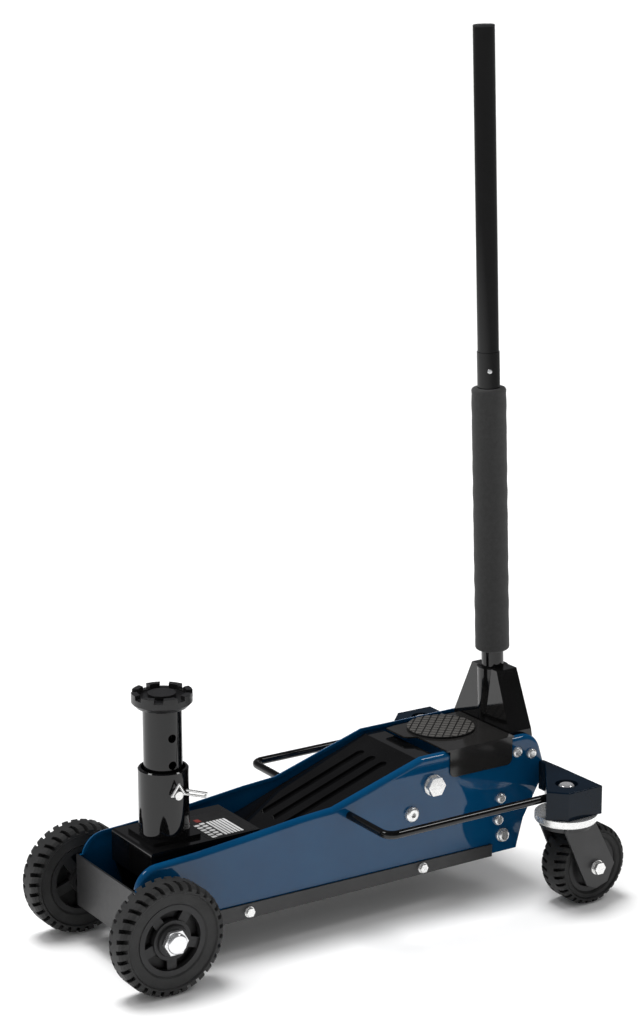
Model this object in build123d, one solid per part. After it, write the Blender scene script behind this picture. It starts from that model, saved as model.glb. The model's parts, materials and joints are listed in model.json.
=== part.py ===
from build123d import *
import math
import os

# Off-road trolley jack, in millimetres.
# Working datum: X = 0 at the front axle, +X forwards, +Y to the jack's left, Z = 0 at the floor.
# Every part is built in that datum and moved by SHIFT_X, which centres the jack on X = 0.

# ---- driving dimensions -------------------------------------------------------------------
WHEEL_R = 82.5              # front wheel
WHEEL_WIDTH = 44.0
WHEEL_OUTER_Y = 153.5
AXLE_R = 10.0

CASTER_R = 62.0             # rear swivel wheel
CASTER_WIDTH = 54.0
SWIVEL_X = -653.5           # vertical swivel axis
SWIVEL_Y = 186.5
CASTER_TRAIL = 34.0         # wheel centre behind the swivel axis

SHIFT_X = (CASTER_R + CASTER_TRAIL - SWIVEL_X - WHEEL_R) / 2

SIDE_OUTER_Y = 85.0         # outer face of the side plates
SIDE_THICK = 5.0
SIDE_TOP_ROLL = 8.0         # rolled top edge
SIDE_NOSE = (20.5, 165.5)   # x, z of the upper front corner before rounding
SIDE_NOSE_R = 38.0
SIDE_EAR = (-676.0, 237.2)  # x, z of the upper rear corner before rounding
SIDE_EAR_R = 35.0
SKID_THICK = 3.0
SKID_BOTTOM_Z = 56.0
SKID_REAR_X = -591.0
FRONT_PANEL_X = 23.7
FRONT_PANEL_TOP_Z = 135.5

ARM_PIVOT = (-482.0, 192.0)             # x, z of the lift arm's rear pivot
ARM_TIP = (-95.0, 112.0)                # x, z of the lift arm's front pivot
LINK_OFFSET = (39.0, -38.0)             # levelling link's pivots from the arm's pivots
ARM_HALF_WIDTH = 62.0
ARM_WALL = 5.0
ARM_TOP_REAR = (-464.0, 231.0)          # x, z where the arm's top plate starts to slope
ARM_TOP_FRONT = (-225.0, 149.0)
ARM_TOP_HALF_WIDTH = 70.0
ARM_TOP_THICK = 7.0
ROLLER_Z = 120.0                        # roller under the arm's rear pivot
ROLLER_R = 12.0
STUB_R = 8.0                            # front pivot pins
LINK_PIN_R = 7.0
LINK_Y = 67.0                           # inner face of the levelling links
LINK_THICK = 6.0

POST_X = -73.0              # lifting post axis
SLEEVE_R = 36.4
SLEEVE_TOP_Z = 277.0
EXTENSION_R = 28.0
SADDLE_R = 43.5
SADDLE_TOP_Z = 389.0
CARRIER_TOP_Z = 175.0
CARRIER_FRONT_X = -19.0
CARRIER_REAR_X = -197.0
CARRIER_HALF_WIDTH = 58.6
CHEEK_OUTER_Y = 54.0        # cheeks stand between the lift arm's walls
LOCK_PIN_Z = 246.0
LOCK_PIN_R = 6.2

CYLINDER_Z = 120.0          # hydraulic ram axis
RAM_R = 14.0
PLUNGER_Z = 168.0           # pump plunger axis
PLUNGER_R = 7.0

COVER_TOP_Z = 240.5
COVER_SHEET = 2.5
COVER_REAR_X = -630.5
COVER_RIGHT_Y = -53.0
PAD_X = -560.0
PAD_R = 52.0

YOKE_PIVOT = (-664.0, 206.3)            # handle socket's pivot
YOKE_BASE_Z = 240.0
YOKE_TOP_Z = 326.5
HANDLE_BASE = (-652.6, 334.1)           # a point on the handle's axis
HANDLE_LEAN = 1.9                       # degrees forwards from upright
LOWER_TUBE_R = 17.0
UPPER_TUBE_R = 16.0
GRIP_R = 26.6
GRIP_START = 18.7                       # distances along the handle from its base point
GRIP_END = 427.7
TUBE_JOINT = 482.0
HANDLE_END = 960.0
BUTTON_AT = 455.0

ROD_R = 6.0
ROD_CORNER_X = -333.6
ROD_OUTER_Y = 185.5
ROD_Z = 175.0
BRACKET_TOP_Z = 190.5
BRACKET_BOTTOM_Z = 146.0

GAP = 0.3                   # between faces of pieces that move past each other
RUN = 0.05                  # radial clearance of running fits


# ---- shared helpers -----------------------------------------------------------------------
def flat_plate(points, y_from, y_to):
    """Plate whose outline is given in X and Z, between two values of Y."""
    outline = make_face(Polyline(*points, close=True))
    return extrude(Plane.XZ.offset(-y_from) * outline, amount=y_from - y_to)


def rod_y(x, z, radius, y_from, y_to):
    """Round bar along Y."""
    middle = (y_from + y_to) / 2
    return Pos(x, middle, z) * Rot(90, 0, 0) * Cylinder(radius, y_to - y_from)


def rod_x(y, z, radius, x_from, x_to):
    """Round bar along X."""
    middle = (x_from + x_to) / 2
    return Pos(middle, y, z) * Rot(0, 90, 0) * Cylinder(radius, x_to - x_from)


def rod_z(x, y, radius, z_from, z_to):
    """Round bar along Z."""
    return Pos(x, y, (z_from + z_to) / 2) * Cylinder(radius, z_to - z_from)


def block(x_from, x_to, y_from, y_to, z_from, z_to):
    """Box between two corners."""
    centre = Pos((x_from + x_to) / 2, (y_from + y_to) / 2, (z_from + z_to) / 2)
    return centre * Box(x_to - x_from, y_to - y_from, z_to - z_from)


def wire(start, end, radius):
    """Round wire between two points."""
    run = Vector(*end) - Vector(*start)
    middle = Vector(*start) + run / 2
    return Plane(origin=middle, z_dir=run) * Cylinder(radius, run.length)


def hex_y(x, z, across_flats, y_from, y_to):
    """Hexagonal bolt head or nut with its axis along Y."""
    outline = RegularPolygon(across_flats / 2, 6, major_radius=False)
    head = extrude(outline, amount=y_to - y_from)
    return Pos(x, y_to, z) * Rot(90, 0, 0) * head


def domed_y(x, z, radius, y_from, y_to):
    """Round bolt head along Y with its outer rim rounded; y_to is the outer face."""
    head = rod_y(x, z, radius, min(y_from, y_to), max(y_from, y_to))
    rim = head.edges().filter_by(GeomType.CIRCLE).sort_by(Axis.Y)[-1 if y_to > y_from else 0]
    return fillet(rim, abs(y_to - y_from) * 0.6)


def mirrored(part):
    """The same part on the jack's right side."""
    return mirror(part, about=Plane.XZ)


def both_sides(part):
    """A group of the part and its mirror image."""
    return Compound(children=[part, mirrored(part)])


def save(name, part):
    """Write one piece, moved from the working datum to the jack's own origin."""
    moved = Pos(SHIFT_X, 0, 0) * part
    moved.label = name
    export_step(moved, "parts/" + name + ".step")


# ---- chassis ------------------------------------------------------------------------------
def side_outline():
    """Side plate outline with its two upper corners rounded."""
    corners = [(20.5, 59.3), SIDE_NOSE, (-80, 170.5), (-158, 177.5), (-252, 187), (-306.8, 190.5),
               (-462.5, 237.2), SIDE_EAR, (-694, 179), (-651, 105), (-638, 59.3)]
    outline = make_face(Polyline(*corners, close=True))
    for (x, z), radius in ((SIDE_NOSE, SIDE_NOSE_R), (SIDE_EAR, SIDE_EAR_R)):
        outline = fillet(outline.vertices().sort_by_distance((x, z, 0))[0], radius)
    return outline


def side_plate_left():
    inner_y = SIDE_OUTER_Y - SIDE_TOP_ROLL - 1
    sheet_y = SIDE_OUTER_Y - SIDE_THICK
    plate = extrude(Plane.XZ.offset(-inner_y) * side_outline(), amount=inner_y - SIDE_OUTER_Y)
    outer_face = plate.faces().sort_by(Axis.Y)[-1]
    rolled = [edge for edge in outer_face.edges() if edge.center().Z > 145]
    plate = fillet(rolled, SIDE_TOP_ROLL)
    plate += block(0, 20.5, sheet_y, SIDE_OUTER_Y, 59.3, 136)
    hollow = Plane.XZ.offset(1 - inner_y) * offset(side_outline(), amount=-SIDE_THICK)
    plate -= extrude(hollow, amount=inner_y - 1 - sheet_y)
    for x_from, x_to, top_z in ((-720, -600, 200), (-20, 40, 137), (-720, 40, 80)):
        plate -= block(x_from, x_to, inner_y - 1, sheet_y, 40, top_z)
    through = (inner_y - 2, SIDE_OUTER_Y + 2)
    plate -= rod_y(0, WHEEL_R, AXLE_R + RUN, *through)
    plate -= rod_y(*ARM_PIVOT, 11 + RUN, *through)
    plate -= rod_y(*LINK_REAR, LINK_PIN_R + RUN, *through)
    plate -= rod_y(*YOKE_PIVOT, 6 + RUN, *through)
    plate -= rod_y(*EAR_BOLT, 5 + RUN, *through)
    plate -= rod_y(*TIE_ROD, 6 + RUN, *through)
    for x, z in UNIT_BOLTS:
        plate -= rod_y(x, z, 5 + RUN, *through)
    for x in SKID_BOLTS_X:
        plate -= rod_y(x, SKID_BOLT_Z, 4.1, *through)
    return plate


def skid_plate():
    """Belly plate: folded flanges outside the side plates and an upturned front panel."""
    top_z = SKID_BOTTOM_Z + SKID_THICK
    outer_y = SIDE_OUTER_Y + SKID_THICK
    front_inner_x = FRONT_PANEL_X - SKID_THICK
    plate = block(SKID_REAR_X, FRONT_PANEL_X, -outer_y, outer_y, SKID_BOTTOM_Z, top_z)
    plate += block(front_inner_x, FRONT_PANEL_X, -outer_y, outer_y, SKID_BOTTOM_Z, FRONT_PANEL_TOP_Z)
    bottom_edges = plate.edges().filter_by(Axis.Y).sort_by(Axis.X)[-4:]
    corner = bottom_edges.sort_by(Axis.Z)[0]
    plate = fillet(corner, 2.5)
    flange_points = [(front_inner_x, SKID_BOTTOM_Z), (front_inner_x, 80), (SKID_REAR_X, 75),
                     (SKID_REAR_X, SKID_BOTTOM_Z)]
    flange = flat_plate(flange_points, SIDE_OUTER_Y + 0.02, outer_y)
    plate += flange + mirrored(flange)
    for x in SKID_BOLTS_X:
        plate -= rod_y(x, SKID_BOLT_Z, 4.1, -outer_y - 1, outer_y + 1)
    return plate - rod_y(0, WHEEL_R, AXLE_R + RUN, -outer_y - 1, outer_y + 1)


def skid_bolts():
    bolts = []
    head_y = SIDE_OUTER_Y + SKID_THICK
    for x in SKID_BOLTS_X:
        shank = rod_y(x, SKID_BOLT_Z, 4, SIDE_OUTER_Y - SIDE_THICK - 7, head_y + 1)
        flange = rod_y(x, SKID_BOLT_Z, 8, head_y, head_y + 1.5)
        head = hex_y(x, SKID_BOLT_Z, 12, head_y + 1, head_y + 6)
        nut = hex_y(x, SKID_BOLT_Z, 13, SIDE_OUTER_Y - SIDE_THICK - 6, SIDE_OUTER_Y - SIDE_THICK)
        bolt = shank + flange + head + nut
        bolts += [bolt, mirrored(bolt)]
    return Compound(children=bolts)


def front_axle():
    return rod_y(0, WHEEL_R, AXLE_R, -WHEEL_OUTER_Y - 5, WHEEL_OUTER_Y + 5)


def axle_spacers():
    """Tubes between the side plates and the front wheels' hubs."""
    inner_y = SIDE_OUTER_Y + SKID_THICK + 0.5
    outer_y = WHEEL_OUTER_Y - WHEEL_WIDTH - GAP
    tube = rod_y(0, WHEEL_R, 15, inner_y, outer_y)
    return both_sides(tube - rod_y(0, WHEEL_R, AXLE_R + RUN, inner_y - 1, outer_y + 1))


def axle_nuts():
    """Domed nuts on the ends of the front axle."""
    start_y = WHEEL_OUTER_Y + GAP
    nut = hex_y(0, WHEEL_R, 33, start_y, start_y + 6.5)
    dome = domed_y(0, WHEEL_R, 15, start_y + 6, start_y + 12)
    bore = rod_y(0, WHEEL_R, AXLE_R + RUN, start_y - 1, WHEEL_OUTER_Y + 5.2)
    return both_sides(nut + dome - bore)


def rear_tie_rod():
    rod = rod_y(*TIE_ROD, 6, -SIDE_OUTER_Y - 4, SIDE_OUTER_Y + 4)
    shoulder = rod_y(*TIE_ROD, 9, -SIDE_OUTER_Y + SIDE_THICK, SIDE_OUTER_Y - SIDE_THICK)
    return rod + shoulder


def tie_rod_nuts():
    washer = rod_y(*TIE_ROD, 11, SIDE_OUTER_Y, SIDE_OUTER_Y + 1.8)
    nut = domed_y(*TIE_ROD, 9.5, SIDE_OUTER_Y + 1.5, SIDE_OUTER_Y + 8)
    bore = rod_y(*TIE_ROD, 6 + RUN, SIDE_OUTER_Y - 1, SIDE_OUTER_Y + 4.2)
    return both_sides(washer + nut - bore)


def frame_bolts():
    """Bolts into the hydraulic unit, and the short ones at the ears with their nuts inside."""
    plate_inner = SIDE_OUTER_Y - SIDE_THICK
    bolts = []
    for x, z in UNIT_BOLTS + [EAR_BOLT]:
        reach = plate_inner - 6 if (x, z) == EAR_BOLT else 58
        bolt = domed_y(x, z, 8, SIDE_OUTER_Y, SIDE_OUTER_Y + 6)
        bolt += rod_y(x, z, 5, reach, SIDE_OUTER_Y + 1)
        if (x, z) == EAR_BOLT:
            bolt += hex_y(x, z, 14, plate_inner - 5.5, plate_inner)
        bolts += [bolt, mirrored(bolt)]
    return Compound(children=bolts)


def arm_shaft():
    """Shaft the lift arm turns on."""
    return rod_y(*ARM_PIVOT, 11, -SIDE_OUTER_Y - 8, SIDE_OUTER_Y + 8)


def arm_shaft_nuts():
    washer = rod_y(*ARM_PIVOT, 16, SIDE_OUTER_Y, SIDE_OUTER_Y + 2)
    nut = hex_y(*ARM_PIVOT, 27, SIDE_OUTER_Y + 1.8, SIDE_OUTER_Y + 12)
    nut = nut & rod_y(*ARM_PIVOT, 15.2, SIDE_OUTER_Y, SIDE_OUTER_Y + 13)
    bore = rod_y(*ARM_PIVOT, 11 + RUN, SIDE_OUTER_Y - 1, SIDE_OUTER_Y + 8.2)
    return both_sides(washer + nut - bore)


def link_anchor_bolts():
    """Cap screws that the levelling links hang on at the chassis."""
    head = domed_y(*LINK_REAR, 11.5, SIDE_OUTER_Y, SIDE_OUTER_Y + 7)
    socket = hex_y(*LINK_REAR, 8, SIDE_OUTER_Y + 3, SIDE_OUTER_Y + 8)
    shank = rod_y(*LINK_REAR, LINK_PIN_R, LINK_Y - 2, SIDE_OUTER_Y + 1)
    collar = rod_y(*LINK_REAR, 11, LINK_Y + LINK_THICK + GAP, SIDE_OUTER_Y - SIDE_THICK)
    return both_sides(head + shank + collar - socket)


def spring_anchor():
    """Cross bar on the belly plate that holds the rear ends of the return springs."""
    x = SPRING_REAR_X - 4
    bar = rod_y(x, SPRING_Z, 4, -44, 44)
    for y in (-26, 26):
        bar += block(x - 4, x + 4, y - 3, y + 3, SKID_BOTTOM_Z + SKID_THICK, SPRING_Z)
    return bar


def carry_rod_left():
    """Bent bar that is the carrying handle and holds the caster bracket."""
    start = (ROD_CORNER_X, SIDE_OUTER_Y, ROD_Z)
    corner = (ROD_CORNER_X, ROD_OUTER_Y, ROD_Z)
    end = (ROD_REAR_X, ROD_OUTER_Y, ROD_Z)
    path = FilletPolyline(start, corner, end, radius=16)
    section = Plane(origin=start, z_dir=(0, 1, 0)) * Circle(ROD_R)
    return sweep(section, path=path)


def bracket_left():
    """Cast corner that carries the caster outside the side plate."""
    outline = [(-690, SIDE_OUTER_Y), (-692, 121), (-693.5, 221), (-630, 222), (-607, 198),
               (-680, 100), (-680, SIDE_OUTER_Y)]
    corner = extrude(make_face(Polyline(*outline, close=True)),
                     amount=BRACKET_TOP_Z - BRACKET_BOTTOM_Z)
    corner = Pos(0, 0, BRACKET_BOTTOM_Z) * corner
    top_edges = corner.faces().sort_by(Axis.Z)[-1].edges()
    corner = fillet(top_edges.filter_by(lambda edge: edge.center().Y > SIDE_OUTER_Y + 1), 2)
    corner -= rod_z(SWIVEL_X, SWIVEL_Y, 17, BRACKET_TOP_Z - 9, BRACKET_TOP_Z + 1)
    corner -= rod_z(SWIVEL_X, SWIVEL_Y, 8 + RUN, BRACKET_BOTTOM_Z - 1, BRACKET_TOP_Z)
    rod_hole = rod_x(ROD_OUTER_Y, ROD_Z, ROD_R + RUN, ROD_REAR_X - 1, -600)
    return corner - rod_hole


# ---- hydraulic unit -----------------------------------------------------------------------
def pump_block():
    """Cast block with the ram's rear bore and the pump's bore."""
    body = block(-645, -555, -60, 60, 101, 158)
    body = chamfer(body.edges().filter_by(Axis.X), 3)
    body += block(-612, -545, -22, 22, 157.5, 186)
    body -= rod_x(0, CYLINDER_Z, RAM_R + RUN, -640, -500)
    body -= rod_x(0, PLUNGER_Z, PLUNGER_R + RUN, -613, -551)
    body -= rod_z(*VALVE_XY, 6 + RUN, 176, 190)
    body -= rod_z(-560, 0, 9, 182, 187)
    for x, z in UNIT_BOLTS:
        body -= rod_y(x, z, 5 + RUN, -61, -50)
        body -= rod_y(x, z, 5 + RUN, 50, 61)
    return body


def reservoir():
    """Oil tank round the ram's cylinder, with its front cap."""
    tank = rod_x(0, CYLINDER_Z, 36, -555, -524)
    rim = tank.edges().filter_by(GeomType.CIRCLE).sort_by(Axis.X)[-1]
    tank = fillet(rim, 4)
    collar = rod_x(0, CYLINDER_Z, 24, -526, -516)
    return tank + collar - rod_x(0, CYLINDER_Z, RAM_R + RUN, -560, -510)


def filler_plug():
    plug = rod_z(-560, 0, 8.9, 182, 190)
    return fillet(plug.edges().filter_by(GeomType.CIRCLE).sort_by(Axis.Z)[-1], 2)


def ram_rod():
    """Ram with the cross head that pushes the arm's roller and carries the springs."""
    rod = rod_x(0, CYLINDER_Z, RAM_R, -636, RAM_FACE_X - 12)
    head = block(RAM_FACE_X - 18, RAM_FACE_X, -30, 30, CYLINDER_Z - 17, CYLINDER_Z + 17)
    head = chamfer(head.edges().filter_by(Axis.X), 3)
    ears = rod_y(SPRING_FRONT_X, SPRING_Z, 3.5, -44, 44)
    neck = block(RAM_FACE_X - 16, RAM_FACE_X - 2, -30, 30, SPRING_Z - 3.5, CYLINDER_Z - 14)
    return rod + head + ears + neck


def return_spring(y):
    """Coil along X between the chassis bar and the ram's cross head."""
    coil_r = 5.5
    wire_r = 1.1
    length = SPRING_FRONT_X - SPRING_REAR_X - 8
    path = Helix(pitch=length / 14, height=length, radius=coil_r)
    section = Plane(origin=path @ 0, z_dir=path % 0) * Circle(wire_r)
    coil = sweep(section, path=path)
    return Pos(SPRING_REAR_X + 4, y, SPRING_Z) * Rot(0, 90, 0) * coil


def pump_plunger():
    """Plunger pushed in by the handle socket's roller."""
    rod = rod_x(0, PLUNGER_Z, PLUNGER_R, PLUNGER_HEAD_X + 3, -588)
    head = rod_x(0, PLUNGER_Z, 9, PLUNGER_HEAD_X, PLUNGER_HEAD_X + 6)
    return rod + head


def release_valve():
    """Valve stem with a square head, turned through the handle."""
    stem = rod_z(*VALVE_XY, 6, 177, 193)
    x, y = VALVE_XY
    return stem + block(x - 4, x + 4, y - 4, y + 4, 192, 200)


def cover_plate():
    """Sheet cover over the hydraulic unit, folded down outside the left side plate."""
    under_z = COVER_TOP_Z - COVER_SHEET
    left_y = SIDE_OUTER_Y + GAP
    outline = [(-507, COVER_RIGHT_Y), (-490, -50), (-490, -1), (-507, 10), (-507, left_y + 2),
               (COVER_REAR_X, left_y + 2), (COVER_REAR_X, COVER_RIGHT_Y)]
    sheet = Pos(0, 0, under_z) * extrude(make_face(Polyline(*outline, close=True)), amount=COVER_SHEET)
    flange = block(-627, -512, left_y, left_y + 2, 197, under_z + 1)
    lower_corners = flange.edges().filter_by(Axis.Y).sort_by(Axis.Z)[:2]
    flange = fillet(lower_corners, 10)
    stiffener = block(-627, -532, COVER_RIGHT_Y, COVER_RIGHT_Y + COVER_SHEET, 215, under_z + 1)
    return sheet + flange + stiffener


def cover_pad():
    """Round treaded pad on the cover."""
    pad = rod_z(PAD_X, -5, PAD_R, COVER_TOP_Z, COVER_TOP_Z + 4)
    pad = chamfer(pad.edges().filter_by(GeomType.CIRCLE).sort_by(Axis.Z)[-1], 1)
    for step in range(-4, 5):
        for angle in (45, -45):
            groove = Box(120, 2.4, 2)
            pad -= Pos(PAD_X, -5, COVER_TOP_Z + 4) * Rot(0, 0, angle) * Pos(0, step * 11, 0) * groove
    return pad


# ---- lift arm and levelling links ---------------------------------------------------------
def arm_wall_outline():
    tip_x, tip_z = ARM_TIP
    pivot_x, pivot_z = ARM_PIVOT
    return [(pivot_x - 26, pivot_z + 16), (pivot_x - 14, ARM_TOP_REAR[1]), ARM_TOP_REAR, ARM_TOP_FRONT,
            (tip_x + 8, tip_z + 19), (tip_x + 20, tip_z), (tip_x + 8, tip_z - 19),
            (-240, 100), (-430, 142), (pivot_x + 16, ROLLER_Z - 14), (pivot_x - 14, ROLLER_Z - 14),
            (pivot_x - 22, pivot_z - 20)]


def lift_arm():
    """Two side walls joined by a ribbed top plate and the roller's lugs."""
    inner_y = ARM_HALF_WIDTH - ARM_WALL
    wall = flat_plate(arm_wall_outline(), inner_y, ARM_HALF_WIDTH)
    wall -= rod_y(*ARM_TIP, STUB_R + RUN, inner_y - 1, ARM_HALF_WIDTH + 1)
    wall -= rod_y(*ARM_PIVOT, 11 + RUN, inner_y - 1, ARM_HALF_WIDTH + 1)
    wall -= rod_y(ARM_PIVOT[0], ROLLER_Z, 6 + RUN, inner_y - 1, ARM_HALF_WIDTH + 1)
    arm = wall + mirrored(wall)
    rear_x, rear_z = ARM_TOP_REAR
    front_x, front_z = ARM_TOP_FRONT
    slope = math.atan2(rear_z - front_z, front_x - rear_x)
    under_x = -ARM_TOP_THICK * math.sin(slope)
    under_z = -ARM_TOP_THICK * math.cos(slope)
    start_x = ARM_PIVOT[0] - 14
    top_points = [(start_x, rear_z), ARM_TOP_REAR, ARM_TOP_FRONT, (front_x + under_x, front_z + under_z),
                  (rear_x + under_x, rear_z + under_z), (start_x, rear_z + under_z)]
    arm += flat_plate(top_points, -ARM_TOP_HALF_WIDTH, ARM_TOP_HALF_WIDTH)
    for y in (-30, 0, 30):
        centre = Pos((rear_x + front_x) / 2, y, (rear_z + front_z) / 2)
        groove = extrude(SlotOverall(190, 15), amount=4, both=True)
        arm -= centre * Rot(0, math.degrees(slope), 0) * groove
    arm -= rod_y(*ARM_PIVOT, 16, -inner_y, inner_y)
    boss = rod_y(*ARM_PIVOT, 17, -inner_y - 1, inner_y + 1)
    boss -= rod_y(*ARM_PIVOT, 11 + RUN, -ARM_HALF_WIDTH, ARM_HALF_WIDTH)
    return arm + boss


def arm_roller():
    """Roller between the arm's lugs that the ram pushes."""
    pin = rod_y(ARM_PIVOT[0], ROLLER_Z, 6, -ARM_HALF_WIDTH - 2, ARM_HALF_WIDTH + 2)
    roller = rod_y(ARM_PIVOT[0], ROLLER_Z, ROLLER_R, -ARM_HALF_WIDTH + 8, ARM_HALF_WIDTH - 8)
    return pin + roller


def arm_tip_pins():
    """Stub pins between the arm's walls and the saddle carrier's cheeks."""
    head = domed_y(*ARM_TIP, 10, ARM_HALF_WIDTH + GAP, ARM_HALF_WIDTH + 3.5)
    shank = rod_y(*ARM_TIP, STUB_R, CHEEK_INNER_Y, ARM_HALF_WIDTH + 1)
    return both_sides(head + shank)


def level_links():
    """Bars that keep the saddle carrier level."""
    length = math.dist(LINK_REAR, LINK_FRONT)
    angle = math.degrees(math.atan2(LINK_REAR[1] - LINK_FRONT[1], LINK_FRONT[0] - LINK_REAR[0]))
    bar = SlotCenterToCenter(length, 22)
    bar = extrude(Plane.XZ * bar, amount=-LINK_THICK)
    middle_x = (LINK_REAR[0] + LINK_FRONT[0]) / 2
    middle_z = (LINK_REAR[1] + LINK_FRONT[1]) / 2
    bar = Pos(middle_x, LINK_Y, middle_z) * Rot(0, angle, 0) * bar
    for x, z in (LINK_REAR, LINK_FRONT):
        bar -= rod_y(x, z, LINK_PIN_R + RUN, LINK_Y - 1, LINK_Y + LINK_THICK + 1)
    return both_sides(bar)


# ---- saddle carrier and post --------------------------------------------------------------
def saddle_carrier():
    """Level carrier: top plate, front flange and two cheeks."""
    top_z = CARRIER_TOP_Z
    under_z = top_z - ARM_WALL
    plate = block(CARRIER_REAR_X, CARRIER_FRONT_X, -CARRIER_HALF_WIDTH, CARRIER_HALF_WIDTH,
                  under_z, top_z)
    plate += block(CARRIER_FRONT_X - ARM_WALL, CARRIER_FRONT_X, -CARRIER_HALF_WIDTH,
                   CARRIER_HALF_WIDTH, 128, top_z)
    outer_edge = plate.edges().filter_by(Axis.Y).sort_by(Axis.X)[-4:].sort_by(Axis.Z)[-1]
    plate = fillet(outer_edge, 4)
    cheek_points = [(CARRIER_REAR_X, under_z + 1), (CARRIER_REAR_X, 150), (-135, 146), (-118, 100),
                    (-104, 91), (-68, 63), (-46, 62), (-36, 76), (CARRIER_FRONT_X - 1, 128),
                    (CARRIER_FRONT_X - 1, under_z + 1)]
    cheek = flat_plate(cheek_points, CHEEK_INNER_Y, CHEEK_OUTER_Y)
    cheek -= rod_y(*ARM_TIP, STUB_R, CHEEK_INNER_Y - 1, CARRIER_HALF_WIDTH + 1)
    cheek -= rod_y(*LINK_FRONT, LINK_PIN_R, CHEEK_INNER_Y - 1, CARRIER_HALF_WIDTH + 1)
    carrier = plate + cheek + mirrored(cheek)
    return carrier - rod_z(POST_X, 0, SLEEVE_R, 60, top_z + 1)


def link_tip_pins():
    """Pins fixed in the cheeks that hold the front ends of the levelling links."""
    head = domed_y(*LINK_FRONT, 9.5, LINK_Y + LINK_THICK + GAP, LINK_Y + LINK_THICK + 3.5)
    shank = rod_y(*LINK_FRONT, LINK_PIN_R, CHEEK_INNER_Y, LINK_Y + LINK_THICK + 1)
    collar = rod_y(*LINK_FRONT, 10, CHEEK_OUTER_Y, LINK_Y - GAP)
    return both_sides(head + shank + collar)


def post_sleeve():
    """Outer tube of the lifting post with its square foot and the lock pin's hole."""
    sleeve = rod_z(POST_X, 0, SLEEVE_R, 72, SLEEVE_TOP_Z)
    sleeve = chamfer(sleeve.edges().filter_by(GeomType.CIRCLE).sort_by(Axis.Z)[-1], 1.5)
    foot = block(POST_X - 39, POST_X + 39, -39, 39, CARRIER_TOP_Z, CARRIER_TOP_Z + 5)
    foot = chamfer(foot.edges().filter_by(Axis.Z), 3)
    sleeve += foot
    sleeve -= rod_z(POST_X, 0, EXTENSION_R + RUN, 78, SLEEVE_TOP_Z + 1)
    sleeve -= rod_z(POST_X, 0, SLEEVE_R - 4.5, SLEEVE_TOP_Z - 12, SLEEVE_TOP_Z + 1)
    return sleeve - rod_y(POST_X, LOCK_PIN_Z, LOCK_PIN_R + RUN, -SLEEVE_R - 1, SLEEVE_R + 1)


def extension_tube():
    """Inner tube of the post with a row of cross holes."""
    top_z = SADDLE_TOP_Z - 22
    tube = rod_z(POST_X, 0, EXTENSION_R, 80, top_z)
    tube -= rod_z(POST_X, 0, EXTENSION_R - 5, 79, top_z - 40)
    tube -= rod_z(POST_X, 0, 12 + RUN, top_z - 30, top_z + 1)
    for step in range(-3, 3):
        tube -= rod_y(POST_X, LOCK_PIN_Z + 40 * step, LOCK_PIN_R + RUN, -EXTENSION_R - 1, EXTENSION_R + 1)
    return tube


def saddle():
    """Swivelling load pad with a toothed rim, standing on a spigot."""
    base_z = SADDLE_TOP_Z - 22 + GAP
    cup = rod_z(POST_X, 0, SADDLE_R, base_z, SADDLE_TOP_Z)
    lower_rim = cup.edges().filter_by(GeomType.CIRCLE).sort_by(Axis.Z)[0]
    cup = chamfer(lower_rim, 7)
    cup -= rod_z(POST_X, 0, SADDLE_R - 9, SADDLE_TOP_Z - 8, SADDLE_TOP_Z + 1)
    cup += rod_z(POST_X, 0, 20, base_z, SADDLE_TOP_Z - 2)
    for index in range(8):
        notch = Pos(SADDLE_R - 4, 0, SADDLE_TOP_Z) * Box(16, 13, 12)
        cup -= Pos(POST_X, 0, 0) * Rot(0, 0, index * 45 + 10) * notch
    return cup + rod_z(POST_X, 0, 12, base_z - 26, base_z + 1)


def lock_pin():
    """Cross pin of the post with the eye for its ring."""
    reach = SLEEVE_R + 9
    pin = rod_y(POST_X, LOCK_PIN_Z, LOCK_PIN_R, -reach, reach)
    return pin - rod_x(SLEEVE_R + 5.5, LOCK_PIN_Z, 2.3, POST_X - 10, POST_X + 10)


def pin_clip():
    """Bent wire through the eye of the lock pin: a triangle in front and a hairpin behind."""
    y = SLEEVE_R + 5.5
    corners = [(POST_X + 10, y, LOCK_PIN_Z), (POST_X, y + 3, LOCK_PIN_Z + 17),
               (POST_X - 10, y, LOCK_PIN_Z)]
    bends = corners + [corners[0], corners[2], (POST_X - 44, y, LOCK_PIN_Z - 11),
                       (POST_X - 46, y, LOCK_PIN_Z - 6), (POST_X - 14, y, LOCK_PIN_Z + 5)]
    wire_r = 1.8
    clip = Part()
    for start, end in zip(bends, bends[1:]):
        clip += wire(start, end, wire_r) + Pos(*start) * Sphere(wire_r) + Pos(*end) * Sphere(wire_r)
    return clip


# ---- handle -------------------------------------------------------------------------------
def handle_place():
    """Location of the handle's own axis, leaning forwards."""
    return Pos(HANDLE_BASE[0], 0, HANDLE_BASE[1]) * Rot(0, HANDLE_LEAN, 0)


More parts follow.
